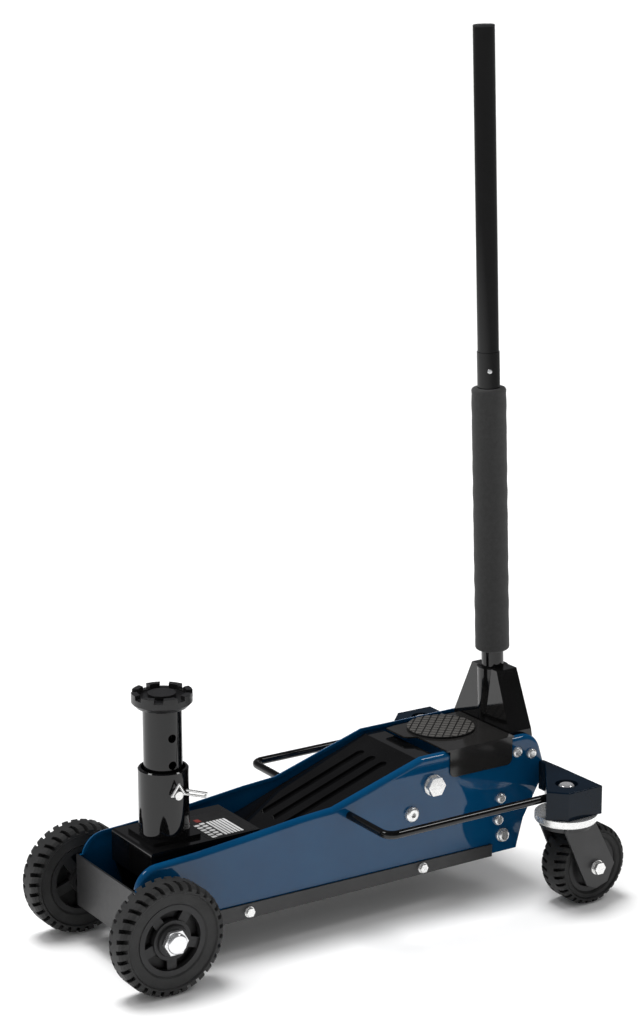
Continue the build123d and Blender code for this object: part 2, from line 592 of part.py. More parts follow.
def handle_yoke():
    """Tapering socket box, open below, with ears on the pivot and a bulging tube for the handle."""
    base = Plane.XY.offset(YOKE_BASE_Z) * Pos(-654, 0) * Rectangle(42, 141.4)
    top = Plane.XY.offset(YOKE_TOP_Z) * Pos(-656, 0) * Rectangle(38, 63)
    inner_base = Plane.XY.offset(YOKE_BASE_Z - 1) * Pos(-654, 0) * Rectangle(34, 134)
    inner_top = Plane.XY.offset(YOKE_TOP_Z - 4) * Pos(-656, 0) * Rectangle(30, 57)
    box = loft([base.face(), top.face()]) - loft([inner_base.face(), inner_top.face()])
    box += block(-637, -633, -67, 67, 222.5, YOKE_BASE_Z + 0.5)
    box += handle_place() * Pos(0, 0, -57) * Cylinder(LOWER_TUBE_R + 7, 98)
    ear_points = [(-675, YOKE_BASE_Z), (-680, 206), (-677, 168), (-670, 158), (-660, 162),
                  (-648, 200), (-633, 216), (-633, YOKE_BASE_Z)]
    ear = flat_plate(ear_points, 66.7, 70.7)
    ear -= rod_y(*YOKE_PIVOT, 6 + RUN, 60, 75)
    ear -= rod_y(*YOKE_ROLLER, 5 + RUN, 60, 75)
    box += ear + mirrored(ear)
    box -= handle_place() * Pos(0, 0, -50) * Cylinder(LOWER_TUBE_R + RUN, 200)
    return box


def yoke_roller():
    """Roller between the socket's ears that works the pump plunger."""
    pin = rod_y(*YOKE_ROLLER, 5, -71.5, 71.5)
    return pin + rod_y(*YOKE_ROLLER, 9, -62, 62)


def yoke_pivot_bolts():
    """Bolts the handle socket turns on."""
    head = domed_y(*YOKE_PIVOT, 7.8, SIDE_OUTER_Y, SIDE_OUTER_Y + 6)
    shank = rod_y(*YOKE_PIVOT, 6, 63, SIDE_OUTER_Y + 1)
    collar = rod_y(*YOKE_PIVOT, 10, 70.7 + GAP, SIDE_OUTER_Y - SIDE_THICK)
    return both_sides(head + shank + collar)


def lower_tube():
    """Handle's lower tube, from inside the socket to the snap button joint."""
    start = -95
    tube = Pos(0, 0, (TUBE_JOINT + start) / 2) * Cylinder(LOWER_TUBE_R, TUBE_JOINT - start)
    tube -= Pos(0, 0, 200) * Cylinder(LOWER_TUBE_R - 2.4, 700)
    hole = Pos(0, 0, BUTTON_AT) * Rot(0, 0, BUTTON_TURN) * Rot(0, 90, 0) * Pos(0, 0, 16)
    tube -= hole * Cylinder(3.5 + RUN, 12)
    return handle_place() * tube


def foam_grip():
    length = GRIP_END - GRIP_START
    grip = Pos(0, 0, (GRIP_END + GRIP_START) / 2) * Cylinder(GRIP_R, length)
    rims = grip.edges().filter_by(GeomType.CIRCLE)
    grip = fillet(rims, 4)
    grip -= Pos(0, 0, 220) * Cylinder(LOWER_TUBE_R + 0.02, 500)
    return handle_place() * grip


def upper_tube():
    """Handle's upper tube with the reduced end that plugs into the lower tube."""
    plug_start = TUBE_JOINT - 70
    tube = Pos(0, 0, (HANDLE_END - 3 + TUBE_JOINT + 0.4) / 2)
    tube *= Cylinder(UPPER_TUBE_R, HANDLE_END - 3 - TUBE_JOINT - 0.4)
    plug = Pos(0, 0, (TUBE_JOINT + 3 + plug_start) / 2)
    plug *= Cylinder(LOWER_TUBE_R - 2.45, TUBE_JOINT + 3 - plug_start)
    tube = tube + plug - Pos(0, 0, 700) * Cylinder(12, 700)
    hole = Pos(0, 0, BUTTON_AT) * Rot(0, 0, BUTTON_TURN) * Rot(0, 90, 0) * Pos(0, 0, 14)
    tube -= hole * Cylinder(3.5 + RUN, 12)
    return handle_place() * tube


def snap_button():
    """Sprung button that locks the two tubes together."""
    place = Pos(0, 0, BUTTON_AT) * Rot(0, 0, BUTTON_TURN) * Rot(0, 90, 0)
    button = place * Pos(0, 0, 12.6) * Cylinder(3.5, 13.8)
    tip = button.edges().filter_by(GeomType.CIRCLE).sort_by_distance((0, 0, BUTTON_AT))[-1]
    button = fillet(tip, 1.6)
    return handle_place() * button


def handle_cap():
    """Plug in the open end of the upper tube."""
    cap = Pos(0, 0, HANDLE_END - 1.5) * Cylinder(UPPER_TUBE_R, 3)
    cap = fillet(cap.edges().filter_by(GeomType.CIRCLE).sort_by(Axis.Z)[-1], 1.5)
    cap += Pos(0, 0, HANDLE_END - 9) * Cylinder(11.9, 14)
    return handle_place() * cap


# ---- wheels -------------------------------------------------------------------------------
def turned_y(points, x, y, z):
    """Solid of revolution about an axis along Y; points are radius and Y offset."""
    profile = make_face(Polyline(*points, close=True))
    return Pos(x, y, z) * revolve(profile, Axis.Y)


def tyre(x, y, z, radius, width, rim_radius, lugs):
    """Tyre with a smooth sidewall and chunky lugs standing round its tread."""
    half = width / 2
    lug_base = radius * 0.855
    outer_half = [(rim_radius, half - 5), (rim_radius + 3, half - 3), (lug_base - 2, half - 2.5),
                  (lug_base, half), (radius - 6, half - 0.5), (radius - 2, half - 4), (radius, half - 9)]
    inner_half = [(ring_radius, -offset_y) for ring_radius, offset_y in reversed(outer_half)]
    ring = turned_y(outer_half + inner_half, 0, 0, 0)
    pitch = 360 / lugs
    gap = 2 * math.pi * radius / lugs * 0.36
    grooves = []
    for index in range(lugs):
        for side in (-1, 1):
            turn = (index + 0.25 * side) * pitch
            groove = Box(gap, half * 0.8, radius - lug_base - 1)
            place = Pos(0, side * half * 0.68, (radius + lug_base) / 2 + 1.5) * Rot(0, 0, side * 18)
            grooves.append(Rot(0, turn, 0) * place * groove)
    return Pos(x, y, z) * (ring - grooves)


def front_tyre_left():
    return tyre(0, WHEEL_Y, WHEEL_R, WHEEL_R, WHEEL_WIDTH, WHEEL_RIM_R, 33)


def front_hub_left():
    """Five-spoke hub with a raised boss round the axle."""
    half = WHEEL_WIDTH / 2
    rim = WHEEL_RIM_R - 0.02
    points = [(AXLE_R + RUN, -half), (20, -half), (20, -6), (44, -6), (44, -half + 4), (rim, -half + 4),
              (rim, half - 4), (44, half - 4), (44, 6), (30, 6), (29, half - 5), (24, half - 5),
              (23, half - 1), (21, half), (AXLE_R + RUN, half)]
    hub = turned_y(points, 0, 0, 0)
    for index in range(5):
        spoke = block(17, 46, 5, half - 8, -7.5, 7.5)
        hub += Rot(0, index * 72 + 18, 0) * spoke
        hub += Rot(0, index * 72 + 18, 0) * mirrored(spoke)
    hub -= rod_y(0, 0, AXLE_R + RUN, -half - 1, half + 1)
    return Pos(0, WHEEL_Y, WHEEL_R) * hub


def caster_tyre_left():
    return tyre(CASTER_X, SWIVEL_Y, CASTER_R, CASTER_R, CASTER_WIDTH, CASTER_RIM_R, 30)


def caster_hub_left():
    half = CASTER_WIDTH / 2
    rim = CASTER_RIM_R - 0.02
    points = [(8 + RUN, -half), (14, -half), (14, -9), (35, -9), (35, -half + 6), (rim, -half + 6),
              (rim, half - 6), (35, half - 6), (35, 9), (14, 9), (14, half), (8 + RUN, half)]
    return turned_y(points, CASTER_X, SWIVEL_Y, CASTER_R)


def swivel_races():
    """Bearing races fixed under the caster brackets."""
    race = rod_z(SWIVEL_X, SWIVEL_Y, 47, 134, BRACKET_BOTTOM_Z)
    race = fillet(race.edges().filter_by(GeomType.CIRCLE).sort_by(Axis.Z)[0], 4)
    race -= rod_z(SWIVEL_X, SWIVEL_Y, 28, 133, 139)
    return both_sides(race - rod_z(SWIVEL_X, SWIVEL_Y, 8 + RUN, 130, 150))


def caster_fork_left():
    """Swivelling fork with its crown, two legs and the kingpin."""
    crown_bottom = CASTER_R + CASTER_R + 3
    crown = rod_z(SWIVEL_X, SWIVEL_Y, 40, crown_bottom, 134 - GAP)
    crown += rod_z(SWIVEL_X, SWIVEL_Y, 27, crown_bottom, 138.5)
    kingpin = rod_z(SWIVEL_X, SWIVEL_Y, 8, crown_bottom, 183)
    leg_inner = CASTER_WIDTH / 2 + 3
    leg_points = [(SWIVEL_X + 28, crown_bottom + 5), (CASTER_X + 31, CASTER_R),
                  (CASTER_X + 18, CASTER_R - 26), (CASTER_X, CASTER_R - 34),
                  (CASTER_X - 21, CASTER_R - 27), (CASTER_X - 33, CASTER_R),
                  (SWIVEL_X - 31, crown_bottom + 5)]
    leg = flat_plate(leg_points, leg_inner, leg_inner + 4)
    leg -= rod_y(CASTER_X, CASTER_R, 8, leg_inner - 1, leg_inner + 5)
    legs = Pos(0, SWIVEL_Y, 0) * (leg + mirrored(leg))
    return crown + kingpin + legs


def kingpin_nuts():
    """Domed caps in the brackets' recesses, over the kingpins."""
    floor_z = BRACKET_TOP_Z - 9
    nut = rod_z(SWIVEL_X, SWIVEL_Y, 12, floor_z, floor_z + 9)
    nut = fillet(nut.edges().filter_by(GeomType.CIRCLE).sort_by(Axis.Z)[-1], 5)
    return both_sides(nut - rod_z(SWIVEL_X, SWIVEL_Y, 8 + RUN, floor_z - 1, 183.2))


def caster_axle_left():
    """Axle bolt with a hexagonal head outside and a nut inside."""
    leg_outer = CASTER_WIDTH / 2 + 7
    shank = rod_y(CASTER_X, CASTER_R, 8, -leg_outer - 1, leg_outer + 1)
    head = hex_y(CASTER_X, CASTER_R, 17, leg_outer, leg_outer + 9)
    washer = rod_y(CASTER_X, CASTER_R, 11, leg_outer, leg_outer + 1.5)
    nut = hex_y(CASTER_X, CASTER_R, 17, -leg_outer - 8, -leg_outer)
    return Pos(0, SWIVEL_Y, 0) * (shank + head + washer + nut)


# ---- derived positions --------------------------------------------------------------------
LINK_REAR = (ARM_PIVOT[0] + LINK_OFFSET[0], ARM_PIVOT[1] + LINK_OFFSET[1])
LINK_FRONT = (ARM_TIP[0] + LINK_OFFSET[0], ARM_TIP[1] + LINK_OFFSET[1])
CHEEK_INNER_Y = CHEEK_OUTER_Y - ARM_WALL
EAR_BOLT = (-637.0, 213.6)
UNIT_BOLTS = [(-607.0, 145.7), (-603.0, 111.4)]
TIE_ROD = (-611.5, 85.6)
SKID_BOLTS_X = (-160.0, -462.0)
SKID_BOLT_Z = 66.3
ROD_REAR_X = -634.0
RAM_FACE_X = ARM_PIVOT[0] - ROLLER_R - 0.5
SPRING_Z = 92.0
SPRING_REAR_X = -590.0
SPRING_FRONT_X = RAM_FACE_X - 9
YOKE_ROLLER = (-668.0, PLUNGER_Z)
PLUNGER_HEAD_X = YOKE_ROLLER[0] + 9 + GAP
VALVE_XY = (-594.0, 0.0)
BUTTON_TURN = 60.0          # degrees about the handle from +X towards +Y
WHEEL_Y = WHEEL_OUTER_Y - WHEEL_WIDTH / 2
WHEEL_RIM_R = 52.0
CASTER_X = SWIVEL_X - CASTER_TRAIL
CASTER_RIM_R = 42.7

PAIRED = [side_plate_left, carry_rod_left, bracket_left, front_tyre_left, front_hub_left,
          caster_fork_left, caster_axle_left, caster_tyre_left, caster_hub_left]
SINGLE = [skid_plate, skid_bolts, front_axle, axle_spacers, axle_nuts, rear_tie_rod, tie_rod_nuts,
          frame_bolts, arm_shaft, arm_shaft_nuts, link_anchor_bolts, level_links, spring_anchor,
          swivel_races, kingpin_nuts, pump_block, reservoir,
          filler_plug, ram_rod, pump_plunger, release_valve, cover_plate, cover_pad, lift_arm,
          arm_roller, arm_tip_pins, saddle_carrier, link_tip_pins, post_sleeve, extension_tube,
          saddle, lock_pin, pin_clip, handle_yoke, yoke_roller, yoke_pivot_bolts, lower_tube,
          foam_grip, upper_tube, snap_button, handle_cap]

os.makedirs("parts", exist_ok=True)
for make in SINGLE:
    save(make.__name__, make())
for make in PAIRED:
    left = make()
    save(make.__name__, left)
    save(make.__name__.replace("_left", "_right"), mirrored(left))
save("return_springs", Compound(children=[return_spring(-38), return_spring(38)]))
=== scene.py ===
import json
import math

import bmesh
import bpy
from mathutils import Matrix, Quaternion, Vector


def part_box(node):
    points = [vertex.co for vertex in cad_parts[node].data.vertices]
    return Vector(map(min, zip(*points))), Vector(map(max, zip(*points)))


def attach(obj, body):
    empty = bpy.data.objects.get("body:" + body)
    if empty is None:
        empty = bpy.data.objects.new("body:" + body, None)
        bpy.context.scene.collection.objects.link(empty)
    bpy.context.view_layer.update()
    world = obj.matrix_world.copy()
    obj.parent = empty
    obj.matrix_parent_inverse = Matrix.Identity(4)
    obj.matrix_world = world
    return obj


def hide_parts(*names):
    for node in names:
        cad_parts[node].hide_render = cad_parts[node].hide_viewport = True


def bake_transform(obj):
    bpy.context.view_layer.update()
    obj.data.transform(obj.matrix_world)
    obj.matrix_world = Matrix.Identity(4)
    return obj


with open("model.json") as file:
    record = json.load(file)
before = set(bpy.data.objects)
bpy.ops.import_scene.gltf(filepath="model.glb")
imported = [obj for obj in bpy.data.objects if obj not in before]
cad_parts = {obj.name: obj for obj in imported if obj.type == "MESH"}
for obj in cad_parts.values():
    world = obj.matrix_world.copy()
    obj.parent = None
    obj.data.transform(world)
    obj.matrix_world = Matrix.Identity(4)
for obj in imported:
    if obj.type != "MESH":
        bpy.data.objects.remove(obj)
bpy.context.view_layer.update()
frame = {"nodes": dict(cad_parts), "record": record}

NODES = frame["nodes"]

# ---- camera -------------------------------------------------------------------------------
CAMERA_AT = Vector((1.9245, 2.9935, 1.5122))
CAMERA_LOOKS_AT = Vector((-0.0089, 0.0, 0.6111))
CAMERA_ROLL = math.radians(-0.161)
CAMERA_LENS = 89.63
SENSOR_WIDTH = 36.0


def make_camera():
    data = bpy.data.cameras.new("camera")
    data.lens = CAMERA_LENS
    data.sensor_width = SENSOR_WIDTH
    camera = bpy.data.objects.new("camera", data)
    bpy.context.scene.collection.objects.link(camera)
    aim = (CAMERA_LOOKS_AT - CAMERA_AT).to_track_quat("-Z", "Y")
    camera.rotation_mode = "QUATERNION"
    camera.rotation_quaternion = aim @ Quaternion((0, 0, 1), CAMERA_ROLL)
    camera.location = CAMERA_AT
    bpy.context.scene.camera = camera


# ---- shader helpers -----------------------------------------------------------------------
class Shader:
    """A node material with short calls for the patterns that the finishes share.

    Keyword values set the surface's inputs, with underscores for the spaces in their names.
    """

    def __init__(self, name, **values):
        self.material = bpy.data.materials.new(name)
        self.material.use_nodes = True
        self.tree = self.material.node_tree
        self.surface = self.tree.nodes["Principled BSDF"]
        self.coordinates = self.add("ShaderNodeTexCoord").outputs["Object"]
        for socket, value in values.items():
            self.surface.inputs[socket.replace("_", " ")].default_value = value

    def add(self, kind, **settings):
        node = self.tree.nodes.new(kind)
        for name, value in settings.items():
            setattr(node, name, value)
        return node

    def link(self, source, target):
        self.tree.links.new(source, target)

    def noise(self, scale, detail=3.0, roughness=0.5, stretch=None):
        node = self.add("ShaderNodeTexNoise")
        node.inputs["Scale"].default_value = scale
        node.inputs["Detail"].default_value = detail
        node.inputs["Roughness"].default_value = roughness
        self.link(self.stretched(stretch), node.inputs["Vector"])
        return node.outputs["Fac"]

    def cells(self, scale):
        node = self.add("ShaderNodeTexVoronoi")
        node.inputs["Scale"].default_value = scale
        self.link(self.coordinates, node.inputs["Vector"])
        return node.outputs["Distance"]

    def stretched(self, stretch):
        """The object's coordinates, squeezed along each axis by the factors in stretch."""
        if stretch is None:
            return self.coordinates
        mapping = self.add("ShaderNodeMapping")
        mapping.inputs["Scale"].default_value = stretch
        self.link(self.coordinates, mapping.inputs["Vector"])
        return mapping.outputs["Vector"]

    def ramp(self, factor, *stops):
        """A colour from the factor; each stop is a position and a colour."""
        node = self.add("ShaderNodeValToRGB")
        elements = node.color_ramp.elements
        while len(elements) < len(stops):
            elements.new(0.5)
        for element, (position, colour) in zip(elements, stops):
            element.position = position
            element.color = (*colour, 1.0)
        self.link(factor, node.inputs["Fac"])
        return node.outputs["Color"]

    def spread(self, factor, low, high, start=0.0, end=1.0):
        """Low to high while the factor goes from start to end."""
        node = self.add("ShaderNodeMapRange")
        node.inputs["From Min"].default_value = start
        node.inputs["From Max"].default_value = end
        node.inputs["To Min"].default_value = low
        node.inputs["To Max"].default_value = high
        self.link(factor, node.inputs["Value"])
        return node.outputs["Result"]

    def mix(self, factor, first, second):
        """First where the factor is 0, second where it is 1; each is a colour or an output."""
        node = self.add("ShaderNodeMix", data_type="RGBA")
        self.link(factor, node.inputs["Factor"])
        for name, colour in (("A", first), ("B", second)):
            if isinstance(colour, tuple):
                node.inputs[name].default_value = (*colour, 1.0)
            else:
                self.link(colour, node.inputs[name])
        return node.outputs["Result"]

    def axis(self, name):
        """One coordinate of the point, X, Y or Z, in metres."""
        node = self.add("ShaderNodeSeparateXYZ")
        self.link(self.coordinates, node.inputs["Vector"])
        return node.outputs[name]

    def distance(self, value, centre=0.0):
        """How far the value lies from the centre, always positive."""
        offset = self.add("ShaderNodeMath", operation="SUBTRACT")
        offset.inputs[1].default_value = centre
        self.link(value, offset.inputs[0])
        size = self.add("ShaderNodeMath", operation="ABSOLUTE")
        self.link(offset.outputs[0], size.inputs[0])
        return size.outputs[0]

    def colour(self, source):
        self.link(source, self.surface.inputs["Base Color"])

    def roughness(self, source):
        self.link(source, self.surface.inputs["Roughness"])

    def rounded_edges(self, radius):
        """Normals that round sharp edges off, so that they catch the light."""
        node = self.add("ShaderNodeBevel", samples=4)
        node.inputs["Radius"].default_value = radius
        return node.outputs["Normal"]

    def bump(self, *layers, previous=None):
        """Each layer is a height, its strength and its depth in metres."""
        for height, strength, distance in layers:
            node = self.add("ShaderNodeBump")
            node.inputs["Strength"].default_value = strength
            node.inputs["Distance"].default_value = distance
            self.link(height, node.inputs["Height"])
            if previous is not None:
                self.link(previous, node.inputs["Normal"])
            previous = node.outputs["Normal"]
        self.link(previous, self.surface.inputs["Normal"])


def shade(dark, light):
    """Two ends of a narrow colour range."""
    return (0.3, dark), (0.7, light)


# ---- finishes -----------------------------------------------------------------------------
def paint(name, dark, light, gloss, grain=0.05, coat=1.0, edge=0.0012):
    """Sprayed gloss paint: slight mottling, orange peel and fine dust under a clear coat.

    The gloss is the coat's roughness, the grain the depth of the orange peel, and the edge the
    radius in metres that sharp edges are shaded with.
    """
    s = Shader(name, Coat_Weight=coat, Coat_Roughness=gloss, Specular_IOR_Level=0.0)
    s.colour(s.ramp(s.noise(14.0, 4.0, 0.6), *shade(dark, light)))
    s.roughness(s.spread(s.noise(55.0, 3.0), 0.22, 0.42))
    s.bump((s.noise(420.0, 2.0), grain, 0.0004), (s.noise(2600.0, 1.0), grain * 0.5, 0.0001),
           previous=s.rounded_edges(edge))
    return s.material


def satin(name, dark, light, roughness):
    """Powder coat: a fine pebbled skin with little gloss."""
    s = Shader(name, Coat_Weight=0.15, Coat_Roughness=0.3)
    s.colour(s.ramp(s.noise(20.0, 5.0, 0.65), *shade(dark, light)))
    s.roughness(s.spread(s.noise(120.0, 3.0), roughness - 0.07, roughness + 0.07))
    s.bump((s.noise(1500.0, 2.0), 0.18, 0.0003), (s.noise(60.0, 2.0), 0.05, 0.0006),
           previous=s.rounded_edges(0.001))
    return s.material


def zinc():
    """Bright zinc plating with faint crystals and handling marks."""
    s = Shader("zinc_plate", Metallic=0.8)
    s.colour(s.ramp(s.cells(260.0), (0.0, (0.82, 0.82, 0.81)), (0.8, (0.93, 0.93, 0.92))))
    s.roughness(s.spread(s.noise(180.0, 4.0), 0.18, 0.34))
    s.bump((s.noise(900.0, 3.0), 0.05, 0.0002))
    return s.material


def chrome():
    s = Shader("chrome_plate", Metallic=0.8)
    s.colour(s.ramp(s.noise(60.0), *shade((0.86, 0.87, 0.88), (0.94, 0.94, 0.95))))
    s.roughness(s.spread(s.noise(240.0, 4.0), 0.05, 0.14))
    s.bump((s.noise(300.0, 2.0), 0.05, 0.0002))
    return s.material


def turned_steel():
    """Machined steel with an oil film and fine turning marks."""
    s = Shader("turned_steel", Metallic=1.0)
    s.colour(s.ramp(s.noise(40.0, 5.0), *shade((0.36, 0.36, 0.37), (0.52, 0.52, 0.53))))
    s.roughness(s.spread(s.noise(160.0, 4.0), 0.22, 0.42))
    s.bump((s.noise(400.0, 2.0, stretch=(1.0, 14.0, 1.0)), 0.2, 0.0002))
    return s.material


def cast_iron():
    s = Shader("cast_iron", Metallic=0.3)
    s.colour(s.ramp(s.noise(70.0, 6.0, 0.7), *shade((0.03, 0.03, 0.032), (0.06, 0.06, 0.063))))
    s.roughness(s.spread(s.noise(90.0, 4.0), 0.5, 0.75))
    s.bump((s.noise(500.0, 4.0, 0.7), 0.5, 0.0008))
    return s.material


def rubber(name, dark, light, roughness):
    """Moulded rubber: faint bloom and a matt grain."""
    s = Shader(name, Specular_IOR_Level=0.35)
    s.colour(s.ramp(s.noise(35.0, 5.0, 0.6), *shade(dark, light)))
    s.roughness(s.spread(s.noise(220.0, 3.0), roughness - 0.08, roughness + 0.08))
    s.bump((s.noise(1400.0, 3.0), 0.25, 0.0003), (s.noise(90.0, 2.0), 0.08, 0.0006))
    return s.material


def foam():
    """Closed-cell foam sleeve: open pores at the skin and soft sheen."""
    s = Shader("foam_skin", Specular_IOR_Level=0.15, Sheen_Weight=0.12, Sheen_Roughness=0.6)
    s.colour(s.ramp(s.noise(180.0, 5.0, 0.7), *shade((0.03, 0.03, 0.03), (0.04, 0.04, 0.04))))
    s.roughness(s.spread(s.noise(300.0, 3.0), 0.78, 0.95))
    s.bump((s.cells(950.0), 0.35, 0.0005), (s.noise(2200.0, 2.0), 0.3, 0.0002))
    return s.material


def plastic(name, dark, light):
    """Moulded wheel plastic with a light spark texture; the web behind the spokes is painted near-black
    as painted shade in the hollows between them.
    """
    s = Shader(name, Specular_IOR_Level=0.3)
    low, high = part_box("front_hub_left")
    hub_middle = (low[1] + high[1]) / 2
    web_face = 0.007
    spoke_face = 0.0125
    depth = s.distance(s.distance(s.axis("Y")), hub_middle)
    raised = s.spread(depth, 0.0, 1.0, web_face, spoke_face)
    unshaded_plastic = s.ramp(s.noise(25.0, 4.0), *shade(dark, light))
    # Painted shade: near-black on the web behind the spokes, mixed in where the hub is recessed.
    s.colour(s.mix(raised, (0.0015, 0.0015, 0.0015), unshaded_plastic))
    s.roughness(s.spread(s.noise(140.0, 3.0), 0.36, 0.5))
    s.bump((s.noise(1800.0, 2.0), 0.15, 0.0002))
    return s.material


def printed(name, dark, light):
    """Vinyl film with scuffs."""
    s = Shader(name, Specular_IOR_Level=0.4)
    s.colour(s.ramp(s.noise(260.0, 5.0, 0.7), *shade(dark, light)))
    s.roughness(s.spread(s.noise(90.0, 3.0), 0.3, 0.5))
    s.bump((s.noise(700.0, 2.0), 0.1, 0.0001))
    return s.material


def diamond_pad():
    """Moulded pad whose raised diamonds are paler than the grooves between them: painted highlight on
    the tops and painted shade in the grooves.
    """
    s = Shader("diamond_pad", Specular_IOR_Level=0.35)
    low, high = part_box("cover_pad")
    top = high[2]
    raised = s.spread(s.axis("Z"), 0.0, 1.0, top - 0.0012, top - 0.0002)
    # Painted shade in the grooves and a painted highlight on the raised tops, set by height.
    s.colour(s.ramp(raised, (0.0, (0.003, 0.003, 0.0035)), (1.0, (0.075, 0.072, 0.068))))
    s.roughness(s.spread(s.noise(220.0, 3.0), 0.45, 0.65))
    s.bump((s.noise(1400.0, 3.0), 0.25, 0.0003))
    return s.material


def make_finishes():
    """The finish of each material slot, then the finishes of single nodes and label layers."""
    return {
        "navy_paint": paint("navy_gloss", (0.0008, 0.044, 0.118), (0.0016, 0.054, 0.138), gloss=0.04),
        "black_paint": paint("black_gloss", (0.002, 0.002, 0.0022), (0.004, 0.004, 0.0042), gloss=0.06),
        "grey_paint": satin("dark_grey_satin", (0.012, 0.012, 0.0125), (0.02, 0.02, 0.021), 0.42),
        "zinc": zinc(),
        "chrome": chrome(),
        "tread": rubber("tyre_rubber", (0.018, 0.018, 0.018), (0.028, 0.028, 0.028), 0.6),
        "hub_plastic": plastic("wheel_plastic", (0.018, 0.018, 0.0185), (0.026, 0.026, 0.027)),
        "foam": foam(),
        "pad_rubber": rubber("pad_rubber", (0.02, 0.02, 0.02), (0.034, 0.034, 0.034), 0.55),
        "cast": cast_iron(),
        "steel": turned_steel(),
        "film": printed("label_black", (0.006, 0.006, 0.006), (0.012, 0.012, 0.012)),
        "pale_film": printed("label_white", (0.5, 0.5, 0.5), (0.68, 0.68, 0.68)),
        "accent_film": printed("label_red", (0.14, 0.02, 0.016), (0.2, 0.03, 0.024)),
        "matt_black": satin("matt_black", (0.004, 0.004, 0.0045), (0.009, 0.009, 0.0095), 0.4),
        "cover_black": paint("cover_black", (0.012, 0.0115, 0.011), (0.018, 0.0175, 0.017),
                             gloss=0.12, grain=0.06, edge=0.003),
        "soft_black": paint("yoke_black", (0.004, 0.004, 0.004), (0.007, 0.007, 0.007), gloss=0.07),
        "blue_black": paint("bracket_blue_black", (0.002, 0.006, 0.012), (0.003, 0.009, 0.018),
                            gloss=0.1, coat=0.45),
        "caster_rubber": rubber("caster_rubber", (0.009, 0.009, 0.009), (0.015, 0.015, 0.015), 0.6),
        "diamond_pad": diamond_pad(),
    }


# Nodes that look different from the rest of their material slot.
OWN_FINISH = {
    "cover_pad": "diamond_pad",
    "saddle": "matt_black",
    "cover_plate": "cover_black",
    "caster_tyre_left": "caster_rubber",
    "caster_tyre_right": "caster_rubber",
    "handle_yoke": "soft_black",
    "bracket_left": "blue_black",
    "bracket_right": "blue_black",
}


def paint_nodes(finishes):
    """Each CAD node takes its own finish or its material slot's, with smooth curved faces."""
    for row in frame["record"]["subparts"]:
        node = NODES[row["node"]]
        finish = OWN_FINISH.get(row["node"], row["material_slot"])
        node.data.materials.clear()
        node.data.materials.append(finishes[finish])
        smooth(node)


def smooth(piece, angle=32):
    """Smooth shading except over edges sharper than the angle, in degrees."""
    piece.data.shade_smooth()
    piece.data.set_sharp_from_angle(angle=math.radians(angle))


# ---- pieces -------------------------------------------------------------------------------
def new_piece(name, bm, body, finish):
    """A finished mesh object with its slot, riding on a body if one is named."""
    mesh = bpy.data.meshes.new(name)
    bmesh.ops.recalc_face_normals(bm, faces=bm.faces)
    bm.to_mesh(mesh)
    bm.free()
    piece = bpy.data.objects.new(name, mesh)
    bpy.context.scene.collection.objects.link(piece)
    mesh.materials.append(finish)
    smooth(piece)
    if body:
        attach(piece, body)
    return piece


def skin_rings(bm, rings, closed):
    """Quads between neighbouring rings of points; closed joins the last ring to the first.

    Returns the vertices of each ring.
    """
    made = [[bm.verts.new(point) for point in ring] for ring in rings]
    pairs = list(zip(made, made[1:]))
    if closed:
        pairs.append((made[-1], made[0]))
    for near, far in pairs:
        for index in range(len(near)):
            after = (index + 1) % len(near)
            bm.faces.new((near[index], near[after], far[after], far[index]))
    return made


def handle_axis():
    """A point on the handle's axis and its direction, from the joint the handle twists on."""
    joint = next(j for j in frame["record"]["behaviour"]["joints"] if j["name"] == "handle_twist")
    return Vector(joint["pos_m"]), Vector(joint["axis"])


def foam_profile(start, end, inner_r, outer_r):
    """Distance along the axis and radius of each ring: round ends and a slightly uneven skin."""
    corner = 0.0045
    corner_steps = 6
    body_steps = 90
    arc = []
    for step in range(corner_steps + 1):
        angle = math.radians(90 * step / corner_steps)
        arc.append((corner * (1 - math.sin(angle)), outer_r - corner * (1 - math.cos(angle))))
    profile = [(start, inner_r)]
    for inset, radius in reversed(arc):
        profile.append((start + inset, radius))
    for step in range(1, body_steps):
        along = start + corner + (end - start - 2 * corner) * step / body_steps
        hollows = 0.0003 * math.sin(along * 71) ** 2 + 0.0002 * math.sin(along * 183)
        profile.append((along, outer_r - hollows))
    for inset, radius in arc:
        profile.append((end - inset, radius))
    profile.append((end, inner_r))
    return profile


def make_foam_grip(finish):
    """Foam sleeve around the lower tube, turned about the handle's axis."""
    segments = 72
    low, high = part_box("foam_grip")
    tube_low, tube_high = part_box("lower_tube")
    outer_r = (high[1] - low[1]) / 2 - 0.0004
    inner_r = (tube_high[1] - tube_low[1]) / 2 + 0.0001
    base, axis = handle_axis()
    lean = math.hypot(axis.x, axis.y)
    start = (low[2] - base.z + outer_r * lean) / axis.z
    end = (high[2] - base.z - outer_r * lean) / axis.z
    side = Vector((0, 1, 0))
    front = side.cross(axis)
    rings = []
    for along, radius in foam_profile(start, end, inner_r, outer_r):
        ring = []
        for index in range(segments):
            turn = 2 * math.pi * index / segments
            spoke = front * math.cos(turn) + side * math.sin(turn)
            ring.append(base + axis * along + spoke * radius)
        rings.append(ring)
    bm = bmesh.new()
    skin_rings(bm, rings, closed=True)
    grip = new_piece("foam_sleeve", bm, "handle", finish)
    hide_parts("foam_grip")


